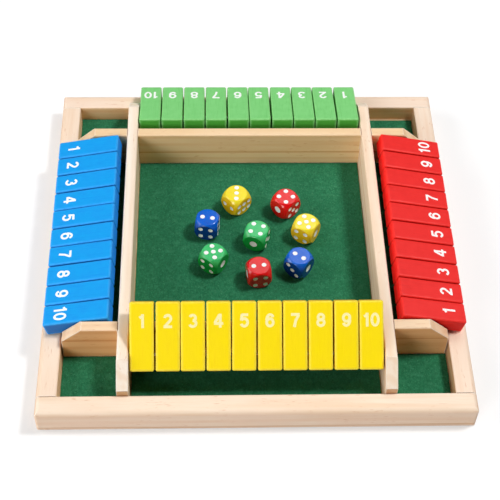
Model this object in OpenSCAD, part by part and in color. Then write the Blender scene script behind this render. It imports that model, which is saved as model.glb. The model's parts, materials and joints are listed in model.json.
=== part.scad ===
// Four-sided shut the box game: a square pine tray with felt floor, a square of
// dividers, ten numbered flip tiles hinged on a rod along each side, and eight dice.
// Millimetres. The origin is the middle of the underside, +Z up, -Y is the yellow
// player's side. The photo's pose is the rest pose: blue, green and red tiles lean
// out onto the frame and yellow tiles lean in onto the front divider.

/* [Frame] */
// Outer size of the square frame
frame_size = 280; // [264:1:320]
// Width of each frame rail
frame_rail_w = 13.5; // [12:0.5:15]
// Height of the frame rails
frame_h = 19.5; // [17:0.5:20.5]
// Rounding of the frame's outer top edge
frame_round = 3.5; // [1.5:0.5:4.5]
// Rounding of the frame's outer bottom edge
frame_base_round = 1.5; // [0.5:0.25:2.5]
// Rounding of the frame's upright corners
frame_corner_round = 2; // [1:0.5:4]
// Rounding of the frame's inner top edge
frame_inner_round = 1; // [0.5:0.25:1.5]

/* [Floor] */
// Thickness of the base board inside the frame
base_t = 7; // [4:0.5:9]
// Thickness of the felt
felt_t = 1.2; // [0.8:0.1:2]
// Gap between a piece of felt and the wood round it
felt_gap = 0.5; // [0.2:0.1:1]
// How far the back right pocket's felt stops short of the back rail
felt_short = 1.6; // [0.5:0.1:3]

/* [Dividers] */
// Clear width between facing dividers, which is the play square
play_w = 162.5; // [156:0.5:164]
// Thickness of a divider
divider_t = 7.6; // [6:0.2:9]
// Height of the dividers' top above the table
divider_top = 37; // [35:0.5:40]
// Height where the sloped divider ends stop
slope_low = 24.6; // [22:0.2:28]
// Length of the sloped ends of the front and back dividers
cross_slope_run = 13.4; // [8:0.2:16]
// Length of the sloped ends of the left and right dividers
long_slope_run = 16.2; // [8:0.2:18]
// Gap between the ends of the front and back dividers and the frame
cross_end_gap = 0.9; // [0.3:0.1:1.5]
// Rounding of the dividers' top edges
divider_round = 1.2; // [0.6:0.1:2]

/* [Tiles] */
// Length of a flip tile
tile_l = 44; // [38:0.5:46]
// Thickness of a flip tile
tile_t = 11.3; // [9:0.1:12]
// Gap between neighbouring tiles
tile_gap = 0.8; // [0.6:0.1:1.2]
// Rounding of the tiles' edges
tile_round = 1.2; // [0.6:0.1:1.6]
// Distance of the rod hole from the tile's short end
hole_from_end = 10.3; // [8:0.1:12]

/* [Hinge rods] */
// Diameter of a hinge rod
rod_d = 2; // [1.6:0.1:3]
// Distance of the rods' middle from the dividers' outer face
rod_from_divider = 15.1; // [13.5:0.1:16]
// Distance of the rods' middle below the dividers' top
rod_below_top = 5.2; // [4.5:0.1:6]
// How deep a rod's end sits in a divider
rod_seat = 4.7; // [3:0.1:5]

/* [Dice] */
// Size of a die across its faces
die_w = 16; // [12:0.5:18]
// Width of the ball that rounds a die's corners
die_ball_d = 21.6; // [20:0.1:26]
// Width of a pip
pip_d = 3.4; // [2.4:0.1:4]
// Width of the single pip on the face that counts one
one_pip_d = 5.6; // [3:0.1:6]
// Depth of a pip
pip_depth = 0.6; // [0.3:0.1:0.9]

/* [Hidden] */
$fn = 48;
TILES = 10;               // tiles on each side
rod_clear = 0.07;         // radial clearance of a tile on its rod
seat_clear = 0.02;        // radial clearance of a rod's end in a divider
seat_end_clear = 0.3;     // room past a rod's end
joint_clear = 0.05;       // clearance on each face of the dividers' halved joints
rest_gap = 0.05;          // air under a tile where it lies on wood
over = 1;                 // how far cutters run past what they cut

half = frame_size / 2;
inner_half = half - frame_rail_w;
floor_z = base_t + felt_t;
play_half = play_w / 2;
divider_h = divider_top - base_t;
divider_mid = play_half + divider_t / 2;
divider_out = play_half + divider_t;
joint_z = base_t + divider_h / 2;
rod_out = divider_out + rod_from_divider;
rod_z = divider_top - rod_below_top;

tile_w = (play_w - (TILES + 1) * tile_gap) / TILES;
tile_pitch = tile_w + tile_gap;
tile_reach = tile_l - hole_from_end;

// Lean outward: the rounded lower edge of the free end lies on the frame's top.
edge_reach = tile_reach - tile_round;
edge_drop = tile_t / 2 - tile_round;
lean_out = asin((rod_z - frame_h - tile_round - rest_gap) / norm([edge_reach, edge_drop]))
         - atan2(edge_drop, edge_reach);

// Lean inward: the tile's under face lies on the rounded edge of the divider.
edge_in = divider_out - divider_round - rod_out;
edge_up = divider_top - divider_round - rod_z;
lean_in = atan2(edge_in, edge_up)
        + acos(-(tile_t / 2 + divider_round + rest_gap) / norm([edge_in, edge_up]));

// Quarter turns that bring the front side's layout round to each player.
YELLOW_TURN = 0;
RED_TURN = 90;
GREEN_TURN = 180;
BLUE_TURN = 270;

YELLOW = [0.98, 0.86, 0.07];
RED = [0.93, 0.2, 0.18];
GREEN = [0.48, 0.8, 0.47];
BLUE = [0.16, 0.62, 0.96];
PINE = [0.95, 0.86, 0.71];

// Pip layouts on a face seen square on. The spacings go with the die's width.
pip_step = 0.22 * die_w;
six_long = 0.29 * die_w;
six_short = 0.18 * die_w;
PAIR = [[-pip_step, 0], [pip_step, 0]];
DIAGONAL = [[-pip_step, pip_step], [pip_step, -pip_step]];
CORNERS = [for (u = [-pip_step, pip_step], v = [-pip_step, pip_step]) [u, v]];
SIX = [for (u = [-six_long, 0, six_long], v = [-six_short, six_short]) [u, v]];
MIDDLE = [[0, 0]];

// Turns that bring another face of a die up from the plain pose, which has five
// on top, four in front and one on the right.
FIVE_UP_TURN = [0, 0, 0];
TWO_UP_ONE_RIGHT_TURN = [180, 0, 0];
TWO_UP_SIX_RIGHT_TURN = [0, 180, 0];
THREE_UP_TURN = [90, 0, 90];
FOUR_UP_FIVE_FRONT_TURN = [90, 180, 0];
FOUR_UP_ONE_FRONT_TURN = [-90, 0, -90];

// A rectangle centred on X, standing on Y = 0, with its two top corners rounded.
module round_top(w, h, r) {
    difference() {
        translate([-w / 2, 0]) square([w, h]);
        corner_cut([-w / 2, h], r, 0);
        corner_cut([w / 2, h], r, -90);
    }
}

// The waste between a square corner and its rounding. Turn 0 is an upper left corner.
module corner_cut(at, r, turn) {
    translate(at) rotate(turn) difference() {
        translate([-over, -r]) square([r + over, r + over]);
        translate([r, -r]) circle(r);
    }
}

// A centred rectangle with all four corners rounded.
module round_rect(w, h, r) {
    difference() {
        square([w, h], center = true);
        corner_cut([-w / 2, h / 2], r, 0);
        corner_cut([w / 2, h / 2], r, -90);
        corner_cut([w / 2, -h / 2], r, 180);
        corner_cut([-w / 2, -h / 2], r, 90);
    }
}

// Extrudes a profile drawn across Y and Z along X, centred.
module along_x(length) {
    rotate([90, 0, 90]) linear_extrude(length, center = true) children();
}

// Extrudes a profile drawn across X and Z along Y, centred.
module along_y(length) {
    rotate([90, 0, 0]) linear_extrude(length, center = true) children();
}

// The whole frame seen from one side, with rounded top and bottom corners.
module frame_outline() {
    difference() {
        round_top(frame_size, frame_h, frame_round);
        corner_cut([-half, 0], frame_base_round, 90);
        corner_cut([half, 0], frame_base_round, 180);
    }
}

// The frame's outer block: rounded upright corners and rounded outer edges.
module frame_block() {
    intersection() {
        linear_extrude(frame_h) round_rect(frame_size, frame_size, frame_corner_round);
        along_x(frame_size) frame_outline();
        along_y(frame_size) frame_outline();
    }
}

// One rail of the front side, `length` long, cut out of the frame's outer block. Only
// its inner top edge is rounded here.
module rail_cut(length, turn) {
    color(PINE) intersection() {
        frame_block();
        rotate(turn) along_x(length) difference() {
            translate([-half, 0]) square([frame_rail_w, frame_h]);
            corner_cut([-inner_half, frame_h], frame_inner_round, -90);
        }
    }
}

module front_rail() { rail_cut(frame_size, 0); }
module back_rail() { rail_cut(frame_size, 180); }
module left_rail() { rail_cut(2 * inner_half, -90); }
module right_rail() { rail_cut(2 * inner_half, 90); }

module base_board() {
    color([0.86, 0.75, 0.58]) translate([-inner_half, -inner_half, 0])
        cube([2 * inner_half, 2 * inner_half, base_t]);
}

// A sheet of felt between two corners, drawn in from the wood by the felt gap.
module felt_sheet(low, high) {
    translate([low[0] + felt_gap, low[1] + felt_gap, base_t])
        cube([high[0] - low[0] - 2 * felt_gap, high[1] - low[1] - 2 * felt_gap, felt_t]);
}

module felt() {
    color([0.13, 0.4, 0.27]) {
        felt_sheet([-play_half, -play_half], [play_half, play_half]);
        for (turn = [0, 90, 180, 270]) rotate(turn)
            felt_sheet([-play_half, -inner_half], [play_half, -divider_out]);
        for (turn = [0, 90, 270]) rotate(turn)
            felt_sheet([-inner_half, -inner_half], [-divider_out, -divider_out]);
        felt_sheet([divider_out, divider_out], [inner_half, inner_half - felt_short]);
    }
}

// A divider lying along X, centred, with sloped ends and rounded top edges.
module divider_board(length, slope_run) {
    end = length / 2;
    intersection() {
        along_y(divider_t) polygon([
            [-end, base_t], [end, base_t], [end, slope_low], [end - slope_run, divider_top],
            [-end + slope_run, divider_top], [-end, slope_low]
        ]);
        along_x(length) translate([0, base_t])
            round_top(divider_t, divider_h, divider_round);
    }
}

// Blind holes for the ends of two rods, cut into a divider lying along X at Y = 0 whose
// inner face looks towards +Y.
module rod_seats() {
    for (side = [-1, 1])
        translate([side * rod_out, divider_t / 2 - rod_seat - seat_end_clear, rod_z])
            rotate([-90, 0, 0])
                cylinder(h = rod_seat + seat_end_clear + over, r = rod_d / 2 + seat_clear);
}

// A left or right divider in the front side's layout: it runs unbroken along the top,
// with a notch below at each crossing.
module long_divider(turn) {
    color(PINE) rotate(turn) translate([0, -divider_mid, 0]) difference() {
        divider_board(2 * inner_half, long_slope_run);
        for (side = [-1, 1])
            translate([side * divider_mid, 0, 0])
                cube([divider_t + 2 * joint_clear, divider_t + over, 2 * (joint_z + joint_clear)],
                     center = true);
        rod_seats();
    }
}

// A front or back divider in the front side's layout, notched from above.
module cross_divider(turn) {
    color(PINE) rotate(turn) translate([0, -divider_mid, 0]) difference() {
        divider_board(2 * (inner_half - cross_end_gap), cross_slope_run);
        for (side = [-1, 1])
            translate([side * divider_mid, 0, joint_z - joint_clear + divider_h / 2])
                cube([divider_t + 2 * joint_clear, divider_t + over, divider_h], center = true);
        rod_seats();
    }
}

module left_divider() { long_divider(BLUE_TURN); }
module right_divider() { long_divider(RED_TURN); }
module front_divider() { cross_divider(YELLOW_TURN); }
module back_divider() { cross_divider(GREEN_TURN); }

module hinge_rods() {
    color("silver")
        for (turn = [YELLOW_TURN, RED_TURN, GREEN_TURN, BLUE_TURN])
            rotate(turn) translate([0, -rod_out, rod_z]) rotate([0, 90, 0])
                cylinder(h = play_w + 2 * rod_seat, r = rod_d / 2, center = true);
}

// A flip tile with its rod hole along X at the origin. Its free end points to -Y.
module tile_block() {
    difference() {
        translate([0, tile_l / 2 - tile_reach, 0]) intersection() {
            linear_extrude(tile_t, center = true) round_rect(tile_w, tile_l, tile_round);
            along_x(tile_w) round_rect(tile_l, tile_t, tile_round);
            along_y(tile_l) round_rect(tile_w, tile_t, tile_round);
        }
        rotate([0, 90, 0])
            cylinder(h = tile_w + 2 * over, r = rod_d / 2 + rod_clear, center = true);
    }
}

// Tile `number` in its place on a side. Each player has number 1 on the left.
module placed_tile(number, turn, lean) {
    rotate(turn) translate([(number - (TILES + 1) / 2) * tile_pitch, -rod_out, rod_z])
        rotate([lean, 0, 0]) tile_block();
}

module blue_tile(number) { color(BLUE) placed_tile(number, BLUE_TURN, lean_out); }
module green_tile(number) { color(GREEN) placed_tile(number, GREEN_TURN, lean_out); }
module red_tile(number) { color(RED) placed_tile(number, RED_TURN, lean_out); }
module yellow_tile(number) { color(YELLOW) placed_tile(number, YELLOW_TURN, lean_in - 180); }

// Dished pips on the top face of a die centred at the origin.
module pips(places, d) {
    ball_r = (d * d / 4 + pip_depth * pip_depth) / (2 * pip_depth);
    for (place = places)
        translate([place[0], place[1], die_w / 2 - pip_depth + ball_r]) sphere(ball_r);
}

// A die at the origin in its plain pose. Opposite faces add up to seven.
module die_block() {
    difference() {
        intersection() {
            cube(die_w, center = true);
            sphere(d = die_ball_d);
        }
        pips(concat(CORNERS, MIDDLE), pip_d);
        rotate([180, 0, 0]) pips(PAIR, pip_d);
        rotate([90, 0, 0]) pips(CORNERS, pip_d);
        rotate([-90, 0, 0]) pips(concat(DIAGONAL, MIDDLE), pip_d);
        rotate([0, 90, 0]) pips(MIDDLE, one_pip_d);
        rotate([0, -90, 0]) pips(SIX, pip_d);
    }
}

// A die lying on the felt, with a face turned up, then turned about +Z. Its place `at` is
// measured from the middle of the play square, in halves of the square's width.
module placed_die(at, face_turn, turn) {
    translate([at[0] * play_half, at[1] * play_half, floor_z + die_w / 2])
        rotate(turn) rotate(face_turn) die_block();
}

module yellow_die_1() { color(YELLOW) placed_die([-0.127, 0.457], THREE_UP_TURN, 42.5); }
module yellow_die_2() { color(YELLOW) placed_die([0.469, 0.13], FIVE_UP_TURN, -31); }
module red_die_1() { color(RED) placed_die([0.305, 0.415], FOUR_UP_FIVE_FRONT_TURN, 43); }
module red_die_2() { color(RED) placed_die([0.046, -0.34], TWO_UP_SIX_RIGHT_TURN, 8); }
module green_die_1() { color([0.1, 0.6, 0.3]) placed_die([0.042, 0.055], FOUR_UP_ONE_FRONT_TURN, -19.5); }
module green_die_2() { color([0.1, 0.6, 0.3]) placed_die([-0.334, -0.192], FIVE_UP_TURN, -35); }
module blue_die_1() { color([0.08, 0.3, 0.75]) placed_die([-0.382, 0.183], TWO_UP_SIX_RIGHT_TURN, -10.5); }
module blue_die_2() { color([0.08, 0.3, 0.75]) placed_die([0.39, -0.241], TWO_UP_ONE_RIGHT_TURN, -37); }

front_rail();
back_rail();
left_rail();
right_rail();
base_board();
felt();
left_divider();
right_divider();
front_divider();
back_divider();
hinge_rods();
for (number = [1 : TILES]) {
    blue_tile(number);
    green_tile(number);
    red_tile(number);
    yellow_tile(number);
}
yellow_die_1();
yellow_die_2();
red_die_1();
red_die_2();
green_die_1();
green_die_2();
blue_die_1();
blue_die_2();
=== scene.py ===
# Looks for the four-sided shut the box game: pine, felt, painted tiles, printed numbers and dice.
# Metres, in the frame's own axes: +Z up, -Y towards the yellow tiles' player.
import json
import math

import bmesh
import bpy
from mathutils import Matrix, Vector, noise


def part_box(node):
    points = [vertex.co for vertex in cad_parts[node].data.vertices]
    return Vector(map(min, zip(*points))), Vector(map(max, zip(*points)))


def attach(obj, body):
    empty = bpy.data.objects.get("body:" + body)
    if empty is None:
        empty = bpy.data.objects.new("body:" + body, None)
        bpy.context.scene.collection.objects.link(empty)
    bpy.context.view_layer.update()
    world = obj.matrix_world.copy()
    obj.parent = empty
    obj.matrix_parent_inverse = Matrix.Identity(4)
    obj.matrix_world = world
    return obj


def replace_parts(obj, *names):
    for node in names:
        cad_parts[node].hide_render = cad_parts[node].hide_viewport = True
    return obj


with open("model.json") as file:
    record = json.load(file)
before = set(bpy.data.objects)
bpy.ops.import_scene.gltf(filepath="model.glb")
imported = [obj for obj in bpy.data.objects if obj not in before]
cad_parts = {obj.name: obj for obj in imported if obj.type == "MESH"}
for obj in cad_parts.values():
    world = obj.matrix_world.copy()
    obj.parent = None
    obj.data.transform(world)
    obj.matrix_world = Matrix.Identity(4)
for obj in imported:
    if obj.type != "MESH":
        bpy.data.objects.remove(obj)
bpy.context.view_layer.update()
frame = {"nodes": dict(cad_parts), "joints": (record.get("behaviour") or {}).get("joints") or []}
hinges = {joint["child"]: joint for joint in frame["joints"]}
mm = 0.001
print("frame loaded:", len(frame["nodes"]), "nodes")


# Small helpers for shapes

def turned(degrees, axis):
    return Matrix.Rotation(math.radians(degrees), 4, axis)


def moved(place):
    return Matrix.Translation(place)


def meshFrom(shape, name):
    mesh = bpy.data.meshes.new(name)
    shape.to_mesh(mesh)
    shape.free()
    return mesh


def newPiece(name, mesh, body, finishes):
    for finish in finishes:
        mesh.materials.append(finish)
    piece = bpy.data.objects.new(name, mesh)
    bpy.context.scene.collection.objects.link(piece)
    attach(piece, body)
    return piece


def softShade(mesh, degrees):
    mesh.shade_smooth()
    mesh.set_sharp_from_angle(angle=math.radians(degrees))


# Small helpers for finishes

def colour(red, green, blue):
    # a screen's 0 to 255 as the linear light that a shader takes
    def linear(level):
        share = level / 255
        return share / 12.92 if share <= 0.04045 else ((share + 0.055) / 1.055) ** 2.4

    return (linear(red), linear(green), linear(blue), 1.0)


def feed(tree, socket, value):
    if isinstance(value, bpy.types.NodeSocket):
        tree.links.new(value, socket)
    else:
        socket.default_value = value


def addNode(tree, kind, inputs, **settings):
    node = tree.nodes.new("ShaderNode" + kind)
    for name, value in settings.items():
        setattr(node, name, value)
    for name, value in inputs.items():
        feed(tree, node.inputs[name], value)
    return node


def blended(tree, share, first, second, way="MIX"):
    node = addNode(tree, "Mix", {}, data_type="RGBA", blend_type=way)
    for index, value in ((0, share), (6, first), (7, second)):
        feed(tree, node.inputs[index], value)
    return node.outputs[2]


def between(tree, value, low, high, newLow, newHigh):
    # the value's span from low to high, spread from newLow to newHigh and held at both ends
    names = ("Value", "From Min", "From Max", "To Min", "To Max")
    inputs = dict(zip(names, (value, low, high, newLow, newHigh)))
    return addNode(tree, "MapRange", inputs).outputs["Result"]


def noisy(tree, place, scale, detail=2.0, stretch=(1, 1, 1), roughness=0.5):
    # noise with a small share along an axis to draw it out into fibres
    spot = addNode(tree, "Mapping", {"Vector": place, "Scale": stretch}).outputs["Vector"]
    inputs = {"Vector": spot, "Scale": scale, "Detail": detail, "Roughness": roughness}
    return addNode(tree, "TexNoise", inputs).outputs[0]


def bumped(tree, shader, height, depth, strength=1.0, eased=0.0):
    # eased: how wide the sharp edges look rounded
    inputs = {"Height": height, "Distance": depth, "Strength": strength}
    if eased:
        inputs["Normal"] = addNode(tree, "Bevel", {"Radius": eased}, samples=6).outputs["Normal"]
    feed(tree, shader.inputs["Normal"], addNode(tree, "Bump", inputs).outputs["Normal"])


def newFinish(name, sockets):
    finish = bpy.data.materials.new(name)
    finish.use_nodes = True
    tree = finish.node_tree
    shader = tree.nodes["Principled BSDF"]
    for label, value in sockets.items():
        shader.inputs[label].default_value = value
    return finish, tree, shader


def objectPlace(tree):
    return addNode(tree, "TexCoord", {}).outputs["Object"]


def edgeShare(tree, width, samples=4):
    # 1 on a sharp edge, 0 on the flats beside it
    soft = addNode(tree, "Bevel", {"Radius": width}, samples=samples).outputs["Normal"]
    plain = addNode(tree, "NewGeometry", {}).outputs["Normal"]
    dot = addNode(tree, "VectorMath", {}, operation="DOT_PRODUCT")
    tree.links.new(soft, dot.inputs[0])
    tree.links.new(plain, dot.inputs[1])
    return between(tree, dot.outputs["Value"], 0.8, 1.0, 1.0, 0.0)


def facingAmount(tree, axis):
    # 1 on a face square to the axis, 0 on a face along it
    sides = addNode(tree, "SeparateXYZ", {})
    feed(tree, sides.inputs[0], addNode(tree, "NewGeometry", {}).outputs["Normal"])
    amount = addNode(tree, "Math", {}, operation="ABSOLUTE")
    feed(tree, amount.inputs[0], sides.outputs[axis])
    return amount.outputs[0]


def uprightShare(tree):
    # 1 on walls, 0 on faces that look up or down
    return between(tree, facingAmount(tree, "Z"), 0.2, 0.7, 1.0, 0.0)


# Camera

camera = {
    "place": (-30.4 * mm, -526.6 * mm, 680.6 * mm),
    "turnedRight": 3.174,
    "lookingDown": 51.991,
    "leaning": 2.207,
    "lens": 87.45,
    "sensor": 36.0,
    "clip": (0.05, 20.0),
}


def setCamera():
    data = bpy.data.cameras.new("camera")
    data.lens = camera["lens"]
    data.sensor_width = camera["sensor"]
    data.clip_start, data.clip_end = camera["clip"]
    eye = bpy.data.objects.new("camera", data)
    bpy.context.scene.collection.objects.link(eye)
    eye.matrix_world = (
        moved(camera["place"])
        @ turned(-camera["turnedRight"], "Z")
        @ turned(90 - camera["lookingDown"], "X")
        @ turned(camera["leaning"], "Z")
    )
    bpy.context.scene.camera = eye


setCamera()
print("camera set")


# Floor and light

studio = {
    "floorWidth": 6.0,
    "floorColour": (206, 206, 206),
    "floorLift": 0.42,
    "farLift": 1.0,
    "farFrom": (0.5, 1.6),
    "skyStrength": 0.05,
    "lampDistance": 2.0,
}
lamps = {
    "keyLamp": {"towards": (0.57, 0.1, 1.0), "width": 0.34, "power": 25.0},
    "leftLamp": {"towards": (-1.0, 0.0, 0.44), "width": 1.6, "power": 26.0},
    "frontLamp": {"towards": (-0.6, -1.0, 0.46), "width": 0.8, "power": 15.5},
    "backLamp": {"towards": (0.3, 0.6, 0.9), "width": 1.1, "power": 7.0},
}


def floorFinish():
    finish, tree, shader = newFinish("paperFloor", {
        "Base Color": colour(*studio["floorColour"]), "Roughness": 0.9,
        "Specular IOR Level": 0.0, "Emission Color": (1, 1, 1, 1)})
    rays = addNode(tree, "LightPath", {})
    shown = addNode(tree, "Math", {}, operation="MAXIMUM")
    feed(tree, shown.inputs[0], rays.outputs["Is Camera Ray"])
    feed(tree, shown.inputs[1], rays.outputs["Is Glossy Ray"])
    reach = addNode(tree, "VectorMath", {}, operation="LENGTH")
    feed(tree, reach.inputs[0], objectPlace(tree))
    lift = addNode(tree, "Math", {}, operation="MULTIPLY")
    feed(tree, lift.inputs[0], shown.outputs[0])
    feed(tree, lift.inputs[1], between(tree, reach.outputs["Value"], *studio["farFrom"],
                                       studio["floorLift"], studio["farLift"]))
    feed(tree, shader.inputs["Emission Strength"], lift.outputs[0])
    return finish


def makeFloor():
    shape = bmesh.new()
    bmesh.ops.create_grid(shape, x_segments=1, y_segments=1, size=studio["floorWidth"] / 2)
    mesh = meshFrom(shape, "floor")
    mesh.materials.append(floorFinish())
    floor = bpy.data.objects.new("floor", mesh)
    bpy.context.scene.collection.objects.link(floor)


def makeSky():
    world = bpy.data.worlds.new("studioSky")
    bpy.context.scene.world = world
    world.use_nodes = True
    tree = world.node_tree
    sky = tree.nodes["Background"]
    sky.inputs["Color"].default_value = (1, 1, 1, 1)
    rays = addNode(tree, "LightPath", {})
    shown = addNode(tree, "Math", {}, operation="MAXIMUM")
    feed(tree, shown.inputs[0], rays.outputs["Is Camera Ray"])
    feed(tree, shown.inputs[1], rays.outputs["Is Transmission Ray"])
    strength = between(tree, shown.outputs[0], 0, 1, studio["skyStrength"], 1.0)
    feed(tree, sky.inputs["Strength"], strength)


def makeLamp(name, towards, width, power):
    data = bpy.data.lights.new(name, "AREA")
    data.size = width
    data.energy = power
    lamp = bpy.data.objects.new(name, data)
    lamp.location = Vector(towards).normalized() * studio["lampDistance"]
    lamp.rotation_euler = (-lamp.location).to_track_quat("-Z", "Y").to_euler()
    bpy.context.scene.collection.objects.link(lamp)


makeFloor()
makeSky()
for name, lamp in lamps.items():
    makeLamp(name, **lamp)
bpy.context.scene.view_settings.view_transform = "Standard"
print("floor and light set")


# Pine frame and dividers

pine = {
    "pale": (252, 240, 224),
    "late": (241, 214, 184),
    "warm": (251, 232, 213),
    "endGrain": (220, 196, 172),
    "fleck": (214, 158, 108),
    # edge: a painted highlight along the rounded edges, with some sanding wear
    "edge": (255, 248, 236),
    "edgeWidth": 1.1 * mm,
    "ringGap": 8.0 * mm,
    "ringWarp": 6.0,
    "fibreScale": 900,
    "bandScale": 170,
    "cloudScale": 22,
    "fleckScale": 1400,
    "knotScale": 45,
    "alongStretch": 0.05,
    "fleckStretch": 0.12,
    "roughness": (0.47, 0.65),
    "bump": 0.15 * mm,
    "seam": (226, 196, 160),
    "seamWidth": 0.9 * mm,
    "seamWave": 0.5 * mm,
    "seamDepth": 0.8,
    "eased": 0.9 * mm,  # how wide the edges look rounded
}
wavePeriod = 0.314  # a wave texture's ring gap at scale 1


def seamShare(tree, place, band, seam):
    # a line along an upright face, at the height where one growth ring comes out
    height = addNode(tree, "SeparateXYZ", {})
    feed(tree, height.inputs[0], place)
    wave = pine["seamWave"]
    away = addNode(tree, "Math", {}, operation="SUBTRACT")
    feed(tree, away.inputs[0], height.outputs["Z"])
    feed(tree, away.inputs[1], between(tree, band, 0.3, 0.7, seam - wave, seam + wave))
    distance = addNode(tree, "Math", {}, operation="ABSOLUTE")
    feed(tree, distance.inputs[0], away.outputs[0])
    share = addNode(tree, "Math", {}, operation="MULTIPLY")
    feed(tree, share.inputs[0], uprightShare(tree))
    near = between(tree, distance.outputs[0], 0.0, pine["seamWidth"], pine["seamDepth"], 0.0)
    feed(tree, share.inputs[1], near)
    return share.outputs[0]


def pineFinish(name, along, heart, tone, sideShade, seam):
    # straight grain round a heart line, with painted shade on the walls, paler edges that are partly
    # sanding wear and partly a painted highlight, and now and then a short dark fleck
    finish, tree, shader = newFinish(name, {"Specular IOR Level": 0.35})
    place = objectPlace(tree)
    stretch = [1.0, 1.0, 1.0]
    stretch["XYZ".index(along)] = pine["alongStretch"]
    toHeart = {"Vector": place, "Location": [-value for value in heart], "Scale": stretch}
    plank = addNode(tree, "Mapping", toHeart).outputs["Vector"]
    rings = addNode(
        tree, "TexWave",
        {"Vector": plank, "Scale": wavePeriod / pine["ringGap"], "Distortion": pine["ringWarp"],
         "Detail": 3.0, "Detail Scale": 0.8, "Detail Roughness": 0.6},
        wave_type="RINGS", rings_direction=along, wave_profile="SIN",
    ).outputs["Fac"]
    fibre = noisy(tree, plank, pine["fibreScale"], 3.0, roughness=0.65)
    band = noisy(tree, plank, pine["bandScale"], 2.0)
    cloud = noisy(tree, place, pine["cloudScale"], 2.0)
    short = [1.0, 1.0, 1.0]
    short["XYZ".index(along)] = pine["fleckStretch"]
    fleck = noisy(tree, place, pine["fleckScale"], 1.0, short)
    knotty = noisy(tree, place, pine["knotScale"], 1.0)
    wood = blended(tree, between(tree, rings, 0.45, 1.0, 0.0, 0.7), colour(*pine["pale"]),
                   colour(*pine["late"]))
    wood = blended(tree, between(tree, cloud, 0.35, 0.65, 0.0, 0.8), wood, colour(*pine["warm"]))
    wood = blended(tree, between(tree, band, 0.5, 0.75, 0.0, 0.65), wood, colour(*pine["late"]))
    wood = blended(tree, between(tree, fibre, 0.5, 0.75, 0.0, 0.3), wood, colour(*pine["late"]))
    spot = addNode(tree, "Math", {}, operation="MULTIPLY")
    feed(tree, spot.inputs[0], between(tree, fleck, 0.65, 0.76, 0.0, 0.7))
    feed(tree, spot.inputs[1], between(tree, knotty, 0.5, 0.6, 0.0, 1.0))
    wood = blended(tree, spot.outputs[0], wood, colour(*pine["fleck"]))
    wood = blended(tree, 1.0, wood, colour(*tone), "MULTIPLY")
    # painted shade: upright faces are multiplied by the plank's darker, warmer wall tone
    wood = blended(tree, uprightShare(tree), wood, colour(*sideShade), "MULTIPLY")
    wood = blended(tree, seamShare(tree, place, band, seam), wood, colour(*pine["seam"]), "MULTIPLY")
    cutAcross = between(tree, facingAmount(tree, along), 0.6, 1.0, 0.0, 1.0)
    wood = blended(tree, cutAcross, wood, colour(*pine["endGrain"]), "MULTIPLY")
    # paler edges: partly sanding wear, partly a painted highlight
    wood = blended(tree, between(tree, edgeShare(tree, pine["edgeWidth"]), 0.05, 0.6, 0.0, 0.9), wood,
                   colour(*pine["edge"]))
    feed(tree, shader.inputs["Base Color"], wood)
    feed(tree, shader.inputs["Roughness"], between(tree, fibre, 0.3, 0.7, *pine["roughness"]))
    bumped(tree, shader, fibre, pine["bump"], 0.35, pine["eased"])
    return finish


# each plank's grain axis, heart line, tone, painted shade on its walls, and height of the seam on them
planks = {
    "front_rail": ("X", (0, -0.150, -0.035), (252, 243, 235), (254, 248, 246), 0.003),
    "back_rail": ("X", (0, 0.120, -0.045), (250, 239, 233), (255, 238, 208), 0.003),
    "left_rail": ("Y", (-0.160, 0, -0.030), (250, 239, 231), (240, 226, 206), 0.003),
    "right_rail": ("Y", (0.118, 0, -0.050), (252, 241, 234), (226, 206, 180), 0.003),
    "left_divider": ("Y", (-0.100, 0, -0.020), (255, 254, 253), (240, 234, 216), 0.019),
    "right_divider": ("Y", (0.070, 0, -0.030), (252, 245, 238), (255, 248, 242), 0.019),
    "front_divider": ("X", (0, -0.070, -0.040), (252, 235, 214), (234, 206, 170), 0.0252),
    "back_divider": ("X", (0, 0.100, -0.030), (249, 234, 206), (254, 246, 230), 0.019),
}


def finishNode(node, finish):
    mesh = frame["nodes"][node].data
    mesh.materials.clear()
    mesh.materials.append(finish)


for node, plank in planks.items():
    finishNode(node, pineFinish("pine_" + node, *plank))
print("pine finished")


# Base board and hinge rods

board = {
    "face": (228, 202, 160),
    "dark": (206, 172, 126),
    "edge": (236, 214, 178),
    "edgeWidth": 0.8 * mm,
    "swirlScale": 14.0,
    "swirlWarp": 7.0,
    "swirlStretch": (0.35, 1.0, 1.0),
    "fibreScale": 700,
    "fibreStretch": (0.06, 1.0, 1.0),
    "roughness": (0.6, 0.8),
    "bump": 0.2 * mm,
}
wire = {
    "bright": (214, 212, 208),
    "dull": (172, 166, 158),
    "scratchScale": 1500,
    "cloudScale": 60,
    "roughness": (0.22, 0.42),
    "bump": 0.02 * mm,
}


def boardFinish():
    finish, tree, shader = newFinish("plywood", {"Specular IOR Level": 0.3})
    place = objectPlace(tree)
    drawnOut = {"Vector": place, "Scale": board["swirlStretch"]}
    sheet = addNode(tree, "Mapping", drawnOut).outputs["Vector"]
    swirl = addNode(
        tree, "TexWave",
        {"Vector": sheet, "Scale": board["swirlScale"], "Distortion": board["swirlWarp"],
         "Detail": 2.0, "Detail Scale": 0.6},
        wave_type="BANDS", bands_direction="Y", wave_profile="SIN",
    ).outputs["Fac"]
    fibre = noisy(tree, place, board["fibreScale"], 3.0, board["fibreStretch"])
    wood = blended(tree, between(tree, swirl, 0.3, 1.0, 0.0, 0.8), colour(*board["face"]),
                   colour(*board["dark"]))
    wood = blended(tree, between(tree, fibre, 0.45, 0.8, 0.0, 0.6), wood, colour(*board["dark"]))
    wood = blended(tree, edgeShare(tree, board["edgeWidth"]), wood, colour(*board["edge"]))
    feed(tree, shader.inputs["Base Color"], wood)
    feed(tree, shader.inputs["Roughness"], between(tree, fibre, 0.3, 0.7, *board["roughness"]))
    bumped(tree, shader, fibre, board["bump"], 0.5)
    return finish


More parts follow.
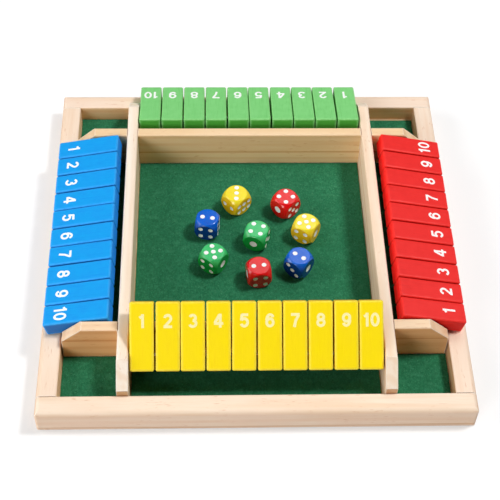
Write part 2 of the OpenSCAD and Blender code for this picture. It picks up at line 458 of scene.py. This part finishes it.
def steelFinish():
    finish, tree, shader = newFinish("brightWire", {"Metallic": 1.0})
    place = objectPlace(tree)
    scratch = noisy(tree, place, wire["scratchScale"], 2.0)
    cloud = noisy(tree, place, wire["cloudScale"], 2.0)
    metal = blended(tree, between(tree, cloud, 0.4, 0.7, 0.0, 0.7), colour(*wire["bright"]),
                    colour(*wire["dull"]))
    feed(tree, shader.inputs["Base Color"], metal)
    feed(tree, shader.inputs["Roughness"], between(tree, scratch, 0.3, 0.7, *wire["roughness"]))
    bumped(tree, shader, scratch, wire["bump"], 0.4)
    return finish


finishNode("base_board", boardFinish())
finishNode("hinge_rods", steelFinish())
print("board and rods finished")


# Felt sheets, one in each compartment

felt = {
    "gap": 0.5 * mm,
    "backRightShort": 1.6 * mm,
    "step": 1.6 * mm,
    "roll": 0.35 * mm,
    "ripple": 0.10 * mm,
    "rippleScale": 420,
    "cut": 0.15 * mm,
    "cutScale": 250,
    "crease": 50,
    "fibreScale": 900,
    "fibreStretch": (1.0, 0.6, 1.0),
    "tuftScale": 260,
    "tuftStretch": (0.7, 1.0, 1.0),
    "cloudScale": 34,
    "speckScale": 1300,
    "dark": (26, 92, 60),
    "plain": (44, 126, 87),
    "light": (90, 170, 128),
    "sheen": (150, 200, 170),
    "roughness": (0.85, 1.0),
    "bump": 0.5 * mm,
}


def feltFinish():
    finish, tree, shader = newFinish("greenFelt", {
        "Specular IOR Level": 0.1, "Sheen Weight": 0.15, "Sheen Roughness": 0.6,
        "Sheen Tint": colour(*felt["sheen"])})
    place = objectPlace(tree)
    fibre = noisy(tree, place, felt["fibreScale"], 4.0, felt["fibreStretch"], 0.7)
    tuft = noisy(tree, place, felt["tuftScale"], 3.0, felt["tuftStretch"])
    cloud = noisy(tree, place, felt["cloudScale"], 3.0)
    speck = noisy(tree, place, felt["speckScale"], 1.0)
    cloth = blended(tree, between(tree, fibre, 0.3, 0.7, 0.0, 1.0), colour(*felt["dark"]),
                    colour(*felt["plain"]))
    cloth = blended(tree, between(tree, tuft, 0.5, 0.8, 0.0, 0.25), cloth, colour(*felt["light"]))
    cloth = blended(tree, between(tree, speck, 0.6, 0.75, 0.0, 0.4), cloth, colour(*felt["light"]))
    cloth = blended(tree, between(tree, cloud, 0.4, 0.75, 0.0, 0.2), cloth, colour(*felt["dark"]))
    feed(tree, shader.inputs["Base Color"], cloth)
    feed(tree, shader.inputs["Roughness"], between(tree, tuft, 0.3, 0.7, *felt["roughness"]))
    bumped(tree, shader, fibre, felt["bump"], 0.6)
    return finish


def feltSheet(name, low, high, bottom, top):
    # a cut sheet: ripples in its face, a rolled and slightly uneven edge, a flat underside
    width, length = high[0] - low[0], high[1] - low[1]
    shape = bmesh.new()
    bmesh.ops.create_grid(shape, x_segments=round(width / felt["step"]),
                          y_segments=round(length / felt["step"]), size=0.5)
    bmesh.ops.scale(shape, vec=(width, length, 1), verts=shape.verts)
    middle = Vector(((low[0] + high[0]) / 2, (low[1] + high[1]) / 2, top))
    bmesh.ops.translate(shape, vec=middle, verts=shape.verts)
    edge = [side for side in shape.edges if side.is_boundary]
    for corner in shape.verts:
        lift = noise.noise(corner.co * felt["rippleScale"])
        corner.co.z -= felt["ripple"] * (1 + lift)
        if corner.is_boundary:
            inward = (middle - corner.co).normalized()
            corner.co.z -= felt["roll"]
            corner.co += inward * felt["cut"] * (1 + noise.noise(corner.co * felt["cutScale"]))
    skirt = bmesh.ops.extrude_edge_only(shape, edges=edge)["geom"]
    for corner in (part for part in skirt if isinstance(part, bmesh.types.BMVert)):
        corner.co.z = bottom
    bmesh.ops.holes_fill(shape, edges=[side for side in shape.edges if side.is_boundary])
    bmesh.ops.recalc_face_normals(shape, faces=shape.faces)
    mesh = meshFrom(shape, name)
    softShade(mesh, felt["crease"])
    piece = newPiece(name, mesh, "tray", [feltGreen])
    return piece


feltGreen = feltFinish()
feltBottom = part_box("base_board")[1].z
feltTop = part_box("felt")[1].z
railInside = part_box("base_board")[1].x
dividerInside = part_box("right_divider")[0].x
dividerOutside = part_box("right_divider")[1].x
spans = {
    "low": (-railInside, -dividerOutside),
    "mid": (-dividerInside, dividerInside),
    "high": (dividerOutside, railInside),
}
feltNames = {
    ("low", "low"): "felt_front_left", ("mid", "low"): "felt_front", ("high", "low"): "felt_front_right",
    ("low", "mid"): "felt_left", ("mid", "mid"): "felt_play", ("high", "mid"): "felt_right",
    ("low", "high"): "felt_back_left", ("mid", "high"): "felt_back", ("high", "high"): "felt_back_right",
}
for (across, deep), name in feltNames.items():
    low = [spans[across][0] + felt["gap"], spans[deep][0] + felt["gap"]]
    high = [spans[across][1] - felt["gap"], spans[deep][1] - felt["gap"]]
    if name == "felt_back_right":
        high[1] = railInside - felt["backRightShort"] - felt["gap"]
    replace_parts(feltSheet(name, low, high, feltBottom, feltTop), "felt")
print("felt laid")


# Flip tiles with their printed numbers

tile = {
    "length": 44 * mm,
    "thickness": 11.3 * mm,
    "holeFromEnd": 10.3 * mm,
    "holeWidth": 2.14 * mm,
    "rounding": 1.2 * mm,
    "roundingSteps": 4,
    "rim": 1.0 * mm,
    "holeSides": 20,
    "rubAndHighlightReach": 1.25,
    "crease": 40,
    "slack": 0.4 * mm,
    "skew": 0.6,
    "playScale": 431,
    "grainScale": 1000,
    "grainStretch": (1.0, 0.07, 1.0),
    "grainShift": (0.11, 0.07, 0.05),
    "cloudScale": 170,
    "chipScale": 420,
    "roughness": (0.42, 0.56),
    "bump": 0.15 * mm,
    "count": 10,
}
# for each side: paint, paler edges, deeper tone, painted shade on the tile's sides, painted light and
# shade on its ends, and print
sides = {
    "yellow": {"turn": 0, "leansIn": True, "paint": (255, 226, 0), "wornHighlight": (255, 240, 84),
               "deep": (250, 214, 0), "sideShade": (232, 178, 0), "end": (232, 178, 0),
               "print": (255, 244, 176)},
    "red": {"turn": 90, "leansIn": False, "paint": (240, 34, 30), "wornHighlight": (250, 58, 50),
            "deep": (214, 16, 12), "sideShade": (212, 0, 0), "end": (255, 18, 14),
            "print": (252, 250, 248)},
    "green": {"turn": 180, "leansIn": False, "paint": (132, 213, 128), "wornHighlight": (150, 222, 142),
              "deep": (90, 186, 86), "sideShade": (76, 172, 60), "end": (76, 172, 60),
              "print": (250, 252, 248)},
    "blue": {"turn": 270, "leansIn": False, "paint": (20, 160, 236), "wornHighlight": (52, 176, 252),
             "deep": (6, 128, 228), "sideShade": (30, 112, 192), "end": (36, 144, 240),
             "print": (250, 252, 254)},
}


def paintFinish(name, side):
    # satin paint over wood: the grain shows faintly, the edges are paler, partly rubbed paint and partly
    # a painted highlight, the sides carry painted shade and the ends painted light and shade
    finish, tree, shader = newFinish(name, {"Specular IOR Level": 0.25})
    place = addNode(tree, "Attribute", {}, attribute_name="tilePlace").outputs["Vector"]
    rim = addNode(tree, "Attribute", {}, attribute_name="tileEdge").outputs["Fac"]
    sideShade = addNode(tree, "Attribute", {}, attribute_name="tileFlank").outputs["Fac"]
    end = addNode(tree, "Attribute", {}, attribute_name="tileEnd").outputs["Fac"]
    grain = noisy(tree, place, tile["grainScale"], 3.0, tile["grainStretch"], 0.6)
    cloud = noisy(tree, place, tile["cloudScale"], 3.0)
    chip = noisy(tree, place, tile["chipScale"], 2.0)
    paint = blended(tree, between(tree, cloud, 0.35, 0.75, 0.0, 0.22), colour(*side["paint"]),
                    colour(*side["deep"]))
    paint = blended(tree, between(tree, grain, 0.52, 0.78, 0.0, 0.4), paint, colour(*side["deep"]))
    # painted shade on the sides, then painted light and shade on the ends
    paint = blended(tree, sideShade, paint, colour(*side["sideShade"]))
    paint = blended(tree, end, paint, colour(*side["end"]))
    # paler edges: partly rubbed paint, partly a painted highlight
    rubAndHighlight = addNode(tree, "Math", {}, operation="MULTIPLY")
    feed(tree, rubAndHighlight.inputs[0], rim)
    feed(tree, rubAndHighlight.inputs[1], between(tree, chip, 0.3, 0.7, 0.5, 1.0))
    paint = blended(tree, rubAndHighlight.outputs[0], paint, colour(*side["wornHighlight"]))
    feed(tree, shader.inputs["Base Color"], paint)
    feed(tree, shader.inputs["Roughness"], between(tree, cloud, 0.3, 0.7, *tile["roughness"]))
    bumped(tree, shader, grain, tile["bump"], 0.5)
    return finish


def printFinish(name, side):
    # screen printed ink, a little thin in specks
    finish, tree, shader = newFinish(name, {"Specular IOR Level": 0.3})
    place = objectPlace(tree)
    speck = noisy(tree, place, numeral["speckScale"], 3.0)
    ink = blended(tree, between(tree, speck, 0.56, 0.74, 0.0, 0.35), colour(*side["print"]),
                  colour(*side["paint"]))
    feed(tree, shader.inputs["Base Color"], ink)
    feed(tree, shader.inputs["Roughness"], between(tree, speck, 0.3, 0.7, *numeral["roughness"]))
    bumped(tree, shader, speck, numeral["bump"], 0.3)
    return finish


tileReach = tile["length"] - tile["holeFromEnd"]
firstLow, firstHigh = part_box("yellow_tile_1")
tileWidth = firstHigh.x - firstLow.x


def leanOf(node):
    # the angle between a tile and the table, from the node's box and the tile's own section
    low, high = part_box(node)
    long = tile["length"] - 2 * tile["rounding"]
    short = tile["thickness"] - 2 * tile["rounding"]
    out = max(high.x - low.x, high.y - low.y) - 2 * tile["rounding"]
    up = high.z - low.z - 2 * tile["rounding"]
    return math.degrees(math.atan2(long * up - short * out, long * out - short * up))


def tileBlock():
    # a tile with its rod hole along X at the origin; the free end points to -Y
    shape = bmesh.new()
    bmesh.ops.create_cube(shape, size=1)
    size = Vector((tileWidth, tile["length"], tile["thickness"]))
    bmesh.ops.scale(shape, vec=size, verts=shape.verts)
    bmesh.ops.bevel(shape, geom=shape.edges[:], offset=tile["rounding"], offset_type="OFFSET",
                    segments=tile["roundingSteps"], profile=0.5, affect="EDGES", material=-1)
    flats = sorted(shape.faces, key=lambda face: face.calc_area())[-6:]
    bmesh.ops.inset_individual(shape, faces=flats, thickness=tile["rim"])
    bmesh.ops.translate(shape, vec=(0, tile["length"] / 2 - tileReach, 0), verts=shape.verts)
    block = bpy.data.objects.new("block", meshFrom(shape, "block"))
    drill = bmesh.new()
    bmesh.ops.create_cone(drill, cap_ends=True, segments=tile["holeSides"],
                          radius1=tile["holeWidth"] / 2, radius2=tile["holeWidth"] / 2,
                          depth=2 * tileWidth, matrix=turned(90, "Y"))
    bit = bpy.data.objects.new("bit", meshFrom(drill, "bit"))
    for thing in (block, bit):
        bpy.context.scene.collection.objects.link(thing)
    cut = block.modifiers.new("hole", "BOOLEAN")
    cut.object = bit
    cut.operation = "DIFFERENCE"
    cut.solver = "EXACT"
    bpy.context.view_layer.update()
    mesh = bpy.data.meshes.new_from_object(block.evaluated_get(bpy.context.evaluated_depsgraph_get()))
    for thing in (block, bit):
        bpy.data.objects.remove(thing)
    return mesh


def edgeAmount(spot):
    # how far out on a rounded edge a point of the tile lies, from 0 to 1
    half = Vector((tileWidth, tile["length"], tile["thickness"])) / 2
    middle = Vector((0, tile["length"] / 2 - tileReach, 0))
    depths = sorted(half[axis] - abs(spot[axis] - middle[axis]) for axis in range(3))
    return max(0.0, min(1.0, tile["rubAndHighlightReach"] - depths[1] / tile["rounding"]))


def tilePlace(side, node):
    # where a tile lies, with the little play that it has along its rod and across it
    lean = leanOf(node)
    pivot = Vector(hinges[node]["pos_m"])
    swing = lean - 180 if side["leansIn"] else lean
    spot = pivot * tile["playScale"]
    shift = noise.noise(spot) * tile["slack"]
    twist = noise.noise(-spot) * tile["skew"]
    loose = moved((shift, 0, 0)) @ turned(twist, "Z")
    return moved(pivot) @ turned(side["turn"], "Z") @ turned(swing, "X") @ loose


def placedTile(number, sideName, node, template):
    side = sides[sideName]
    mesh = template.copy()
    mesh.name = node
    mesh.attributes.new("tilePlace", "FLOAT_VECTOR", "POINT")
    mesh.attributes.new("tileEdge", "FLOAT", "POINT")
    mesh.attributes.new("tileFlank", "FLOAT", "POINT")
    mesh.attributes.new("tileEnd", "FLOAT", "POINT")
    shift = Vector(tile["grainShift"]) * Vector((number, side["turn"] / 90, number))
    spots = [corner.co.copy() for corner in mesh.vertices]
    normals = [corner.normal.copy() for corner in mesh.vertices]
    for place, spot in zip(mesh.attributes["tilePlace"].data, spots):
        place.vector = spot + shift
    for edge, spot in zip(mesh.attributes["tileEdge"].data, spots):
        edge.value = edgeAmount(spot)
    # masks for the painted shade on the sides and the painted light and shade on the ends
    for sideShade, normal in zip(mesh.attributes["tileFlank"].data, normals):
        sideShade.value = 1 - abs(normal.z)
    for end, normal in zip(mesh.attributes["tileEnd"].data, normals):
        end.value = abs(normal.y)
    mesh.transform(tilePlace(side, node))
    softShade(mesh, tile["crease"])
    piece = newPiece(node + "_block", mesh, node, [side["paintFinish"]])
    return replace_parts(piece, node)


# Numerals, drawn with strokes of one width in a box one unit high

numeral = {
    "height": 8.8 * mm,
    "strokes": {"yellow": 0.2, "red": 0.175, "green": 0.175, "blue": 0.175},
    "ink": 0.05 * mm,
    "layer": 0.008 * mm,
    "gap": 0.15,
    "bowStep": 15,
    "closedWithin": 0.001,
    "speckScale": 1600,
    "roughness": (0.45, 0.6),
    "bump": 0.03 * mm,
    "weld": 0.001 * mm,
    "outerFromEnd": 11.6 * mm,
    "innerFromEnd": 12.2 * mm,
}


def bow(across, up, wide, high, start, stop):
    # points along part of an oval; 0 degrees is to the right, 90 is the top
    steps = max(2, round(abs(stop - start) / numeral["bowStep"]))
    angles = [math.radians(start + (stop - start) * step / steps) for step in range(steps + 1)]
    return [(across + wide * math.cos(angle), up + high * math.sin(angle)) for angle in angles]


digitStrokes = {
    "0": [bow(0, 0, 0.235, 0.41, 0, 360)],
    "1": [[(0.06, -0.5), (0.06, 0.5)], [(0.07, 0.43), (-0.02, 0.31), (-0.17, 0.23)]],
    "2": [bow(0, 0.175, 0.225, 0.235, 168, -28) + [(-0.215, -0.40)], [(-0.30, -0.41), (0.31, -0.41)]],
    "3": [bow(0, 0.205, 0.20, 0.205, 162, -90), bow(0, -0.185, 0.235, 0.225, 90, -160)],
    "4": [[(0.115, -0.5), (0.115, 0.5)], [(-0.33, -0.2), (0.33, -0.2)], [(-0.275, -0.17), (0.06, 0.43)]],
    "5": [[(-0.2, 0.41), (0.28, 0.41)], [(-0.155, 0.44), (-0.215, 0.0)],
          bow(0, -0.135, 0.24, 0.275, 148, -158)],
    "6": [bow(0, -0.15, 0.235, 0.26, 0, 360), bow(0.02, 0, 0.255, 0.41, 180, 34)],
    "7": [[(-0.31, 0.41), (0.31, 0.41)], [(0.25, 0.39), (0.03, -0.03), (-0.07, -0.5)]],
    "8": [bow(0, 0.205, 0.20, 0.205, 0, 360), bow(0, -0.185, 0.235, 0.225, 0, 360)],
    "9": [bow(0, 0.15, 0.235, 0.26, 0, 360), bow(-0.02, 0, 0.255, 0.41, 0, -146)],
}
digitSides = {"1": (-0.2, 0.15)}
usualSides = (-0.33, 0.33)


def flatProfile(stroke):
    # the section of a stroke of ink
    curve = bpy.data.curves.new("inkSection", "CURVE")
    curve.dimensions = "2D"
    line = curve.splines.new("POLY")
    line.points.add(3)
    wide, high = stroke * numeral["height"] / 2, numeral["ink"] / 2
    for point, (across, up) in zip(line.points, ((-1, -1), (1, -1), (1, 1), (-1, 1))):
        point.co = (across * wide, up * high, 0, 1)
    line.use_cyclic_u = True
    section = bpy.data.objects.new("inkSection", curve)
    bpy.context.scene.collection.objects.link(section)
    return section


def inkMesh(text, section):
    curve = bpy.data.curves.new("ink", "CURVE")
    curve.dimensions = "3D"
    curve.twist_mode = "Z_UP"
    curve.bevel_mode = "OBJECT"
    curve.bevel_object = section
    curve.use_fill_caps = True
    widths = [digitSides.get(digit, usualSides) for digit in text]
    total = sum(right - left for left, right in widths) + numeral["gap"] * (len(text) - 1)
    pen = -total / 2
    for digit, (left, right) in zip(text, widths):
        for layer, stroke in enumerate(digitStrokes[digit]):
            closed = math.dist(stroke[0], stroke[-1]) < numeral["closedWithin"]
            points = stroke[:-1] if closed else stroke
            line = curve.splines.new("POLY")
            line.points.add(len(points) - 1)
            line.use_cyclic_u = closed
            for point, (across, up) in zip(line.points, points):
                spot = Vector((pen - left + across, up, 0)) * numeral["height"]
                point.co = (spot.x, spot.y, layer * numeral["layer"], 1)
        pen += right - left + numeral["gap"]
    ink = bpy.data.objects.new("ink", curve)
    bpy.context.scene.collection.objects.link(ink)
    bpy.context.view_layer.update()
    mesh = bpy.data.meshes.new_from_object(ink.evaluated_get(bpy.context.evaluated_depsgraph_get()))
    mesh.shade_flat()
    bpy.data.objects.remove(ink)
    return mesh


def printedNumber(number, side, node, flat):
    # the same number on both faces, read from the player's seat on the face that is up
    high = tile["thickness"] / 2
    outer = moved((0, numeral["outerFromEnd"] - tileReach, high))
    inner = moved((0, numeral["innerFromEnd"] - tileReach, -high)) @ turned(180, "X")
    shape = bmesh.new()
    for face in (outer, inner):
        before = len(shape.verts)
        shape.from_mesh(flat)
        shape.verts.ensure_lookup_table()
        bmesh.ops.transform(shape, matrix=tilePlace(side, node) @ face, verts=shape.verts[before:])
    bmesh.ops.remove_doubles(shape, verts=shape.verts, dist=numeral["weld"])
    bmesh.ops.recalc_face_normals(shape, faces=shape.faces)
    name = node + "_number"
    return newPiece(name, meshFrom(shape, name), node, [side["printFinish"]])


template = tileBlock()
for sideName, side in sides.items():
    inkSection = flatProfile(numeral["strokes"][sideName])
    side["paintFinish"] = paintFinish(sideName + "Paint", side)
    side["printFinish"] = printFinish(sideName + "Print", side)
    for number in range(1, tile["count"] + 1):
        node = f"{sideName}_tile_{number}"
        placedTile(number, sideName, node, template)
        printedNumber(number, side, node, inkMesh(str(number), inkSection))
    bpy.data.objects.remove(inkSection)
print("tiles painted and numbered")


# Dice

die = {
    "width": 16 * mm,
    "ball": 21.6 * mm,
    "pipWidth": 3.4 * mm,
    "onePipWidth": 5.6 * mm,
    "pipDepth": 0.6 * mm,
    "pipStep": 3.52 * mm,
    "sixLong": 4.64 * mm,
    "sixShort": 2.88 * mm,
    "paintShare": 0.97,
    "paintDepth": 0.12 * mm,
    "paintSink": 0.05 * mm,
    "paintSteps": 14,
    "bendOut": 0.55,
    "bendDown": 0.1,
    "bendDepth": 0.8,
    "dishSteps": 32,
    "ballSteps": 6,
    "flatWithin": 0.05,
    "crease": 30,
    "weld": 0.002 * mm,
    "cloudScale": 160,
    "rubScale": 900,
    "roughness": (0.14, 0.3),
    "bump": 0.02 * mm,
    "speckScale": 1300,
    "pipPlain": (254, 253, 252),
    "pipDull": (240, 237, 234),
    "pipRoughness": (0.3, 0.5),
}
# turns about X, Y and Z that bring a die's faces to where their names say
fiveUp = (0, 0, 0)
twoUpOneRight = (180, 0, 0)
twoUpSixRight = (0, 180, 0)
threeUp = (90, 0, 90)
fourUpFiveFront = (90, 180, 0)
fourUpOneFront = (-90, 0, -90)
# each die's turn, then its angle on the felt
dice = {
    "yellow_die_1": (threeUp, 42.5), "yellow_die_2": (fiveUp, -31),
    "red_die_1": (fourUpFiveFront, 43), "red_die_2": (twoUpSixRight, 8),
    "green_die_1": (fourUpOneFront, -19.5), "green_die_2": (fiveUp, -35),
    "blue_die_1": (twoUpSixRight, -10.5), "blue_die_2": (twoUpOneRight, -37),
}
# for each colour: plain, deep in the body, and the painted shade on the walls
plastics = {
    "yellow": ((252, 232, 56), (246, 206, 14), (255, 200, 18)),
    "red": ((236, 8, 18), (196, 0, 6), (220, 4, 6)),
    "green": ((70, 204, 122), (20, 156, 70), (20, 160, 60)),
    "blue": ((0, 106, 220), (0, 60, 166), (0, 50, 140)),
}


def plasticFinish(name, plain, deep, sideShade):
    # painted shade: the upright faces take a deeper colour
    finish, tree, shader = newFinish(name, {
        "Specular IOR Level": 0.45, "Coat Weight": 0.3, "Coat Roughness": 0.04,
        "Subsurface Weight": 0.35, "Subsurface Radius": (1, 1, 1), "Subsurface Scale": 2.5 * mm})
    place = objectPlace(tree)
    cloud = noisy(tree, place, die["cloudScale"], 2.0)
    rub = noisy(tree, place, die["rubScale"], 3.0)
    body = blended(tree, between(tree, cloud, 0.3, 0.75, 0.0, 0.35), colour(*plain), colour(*deep))
    body = blended(tree, uprightShare(tree), body, colour(*sideShade))
    feed(tree, shader.inputs["Base Color"], body)
    feed(tree, shader.inputs["Roughness"], between(tree, rub, 0.35, 0.75, *die["roughness"]))
    bumped(tree, shader, rub, die["bump"], 0.25)
    return finish


def pipFinish():
    finish, tree, shader = newFinish("pipPaint", {"Specular IOR Level": 0.45})
    place = objectPlace(tree)
    speck = noisy(tree, place, die["speckScale"], 2.0)
    white = blended(tree, between(tree, speck, 0.5, 0.8, 0.0, 0.5), colour(*die["pipPlain"]),
                    colour(*die["pipDull"]))
    feed(tree, shader.inputs["Base Color"], white)
    feed(tree, shader.inputs["Roughness"], between(tree, speck, 0.3, 0.7, *die["pipRoughness"]))
    bumped(tree, shader, speck, die["bump"], 0.3)
    return finish


def pipFaces():
    # (turn that brings a face up, pip places on it, pip width) for a die in its plain pose
    step, long, short = die["pipStep"], die["sixLong"], die["sixShort"]
    corners = [(u, v) for u in (-step, step) for v in (-step, step)]
    slant = [(-step, step), (step, -step)]
    six = [(u, v) for u in (-long, 0, long) for v in (-short, short)]
    small, big = die["pipWidth"], die["onePipWidth"]
    return [
        (Matrix.Identity(4), corners + [(0, 0)], small),
        (turned(180, "X"), [(-step, 0), (step, 0)], small),
        (turned(90, "X"), corners, small),
        (turned(-90, "X"), slant + [(0, 0)], small),
        (turned(90, "Y"), [(0, 0)], big),
        (turned(-90, "Y"), six, small),
    ]


def dishRadius(width):
    return (width ** 2 / 4 + die["pipDepth"] ** 2) / (2 * die["pipDepth"])


def dieBlock():
    # a ball clipped by the six faces of a cube, so the creases are soft, with dished pips
    shape = bmesh.new()
    bmesh.ops.create_icosphere(shape, subdivisions=die["ballSteps"], radius=die["ball"] / 2)
    half = die["width"] / 2
    for corner in shape.verts:
        corner.co = [max(-half, min(half, value)) for value in corner.co]
    bmesh.ops.dissolve_limit(shape, angle_limit=math.radians(die["flatWithin"]), verts=shape.verts,
                             edges=shape.edges)
    block = bpy.data.objects.new("block", meshFrom(shape, "block"))
    balls = bmesh.new()
    for turn, places, width in pipFaces():
        radius = dishRadius(width)
        for across, up in places:
            spot = turn @ moved((across, up, half - die["pipDepth"] + radius))
            bmesh.ops.create_uvsphere(balls, u_segments=die["dishSteps"], v_segments=die["dishSteps"],
                                      radius=radius, matrix=spot)
    cutter = bpy.data.objects.new("cutter", meshFrom(balls, "cutter"))
    for thing in (block, cutter):
        bpy.context.scene.collection.objects.link(thing)
    cut = block.modifiers.new("pips", "BOOLEAN")
    cut.object = cutter
    cut.operation = "DIFFERENCE"
    cut.solver = "EXACT"
    cut.use_self = True
    bpy.context.view_layer.update()
    mesh = bpy.data.meshes.new_from_object(block.evaluated_get(bpy.context.evaluated_depsgraph_get()))
    for thing in (block, cutter):
        bpy.data.objects.remove(thing)
    return mesh


def pipPaint():
    # a thin dish of paint in each pip, spun round the pip's axis
    shape = bmesh.new()
    half = die["width"] / 2
    for turn, places, width in pipFaces():
        radius = dishRadius(width)
        edge = width / 2 * die["paintShare"]
        rim = half - die["pipDepth"] + radius - math.sqrt(radius ** 2 - edge ** 2)
        floor = half - die["pipDepth"]
        lift, sink = die["paintDepth"], die["paintSink"]
        bendUp = (rim + floor) / 2 - die["bendDown"] * (rim - floor) + lift * die["bendDepth"]
        section = [(0, floor + lift), (edge * die["bendOut"], bendUp), (edge, rim),
                   (edge, rim - sink), (0, floor - sink)]
        for across, up in places:
            points = [shape.verts.new((x, 0, z)) for x, z in section]
            lines = [shape.edges.new(pair) for pair in zip(points, points[1:])]
            bmesh.ops.spin(shape, geom=points + lines, cent=(0, 0, 0), axis=(0, 0, 1), dvec=(0, 0, 0),
                           angle=math.tau, steps=die["paintSteps"], use_merge=True, use_duplicate=False)
            new = [corner for corner in shape.verts if not corner.tag]
            bmesh.ops.transform(shape, matrix=turn @ moved((across, up, 0)), verts=new)
            for corner in shape.verts:
                corner.tag = True
    bmesh.ops.remove_doubles(shape, verts=shape.verts, dist=die["weld"])
    bmesh.ops.recalc_face_normals(shape, faces=shape.faces)
    return meshFrom(shape, "pips")


def dieMatrix(node, faceTurn, yaw):
    low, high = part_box(node)
    spin = turned(yaw, "Z")
    for degrees, axis in zip(reversed(faceTurn), "ZYX"):
        spin = spin @ turned(degrees, axis)
    return moved((low + high) / 2) @ spin


dieShape = dieBlock()
pipShape = pipPaint()
pipWhite = pipFinish()
plasticFinishes = {name: plasticFinish(name + "Plastic", *tones) for name, tones in plastics.items()}
for node, (faceTurn, yaw) in dice.items():
    kind = node.split("_")[0]
    matrix = dieMatrix(node, faceTurn, yaw)
    body = dieShape.copy()
    body.transform(matrix)
    softShade(body, die["crease"])
    piece = newPiece(node + "_body", body, node, [plasticFinishes[kind]])
    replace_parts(piece, node)
    paint = pipShape.copy()
    paint.transform(matrix)
    softShade(paint, die["crease"])
    newPiece(node + "_pips", paint, node, [pipWhite])
print("dice polished")
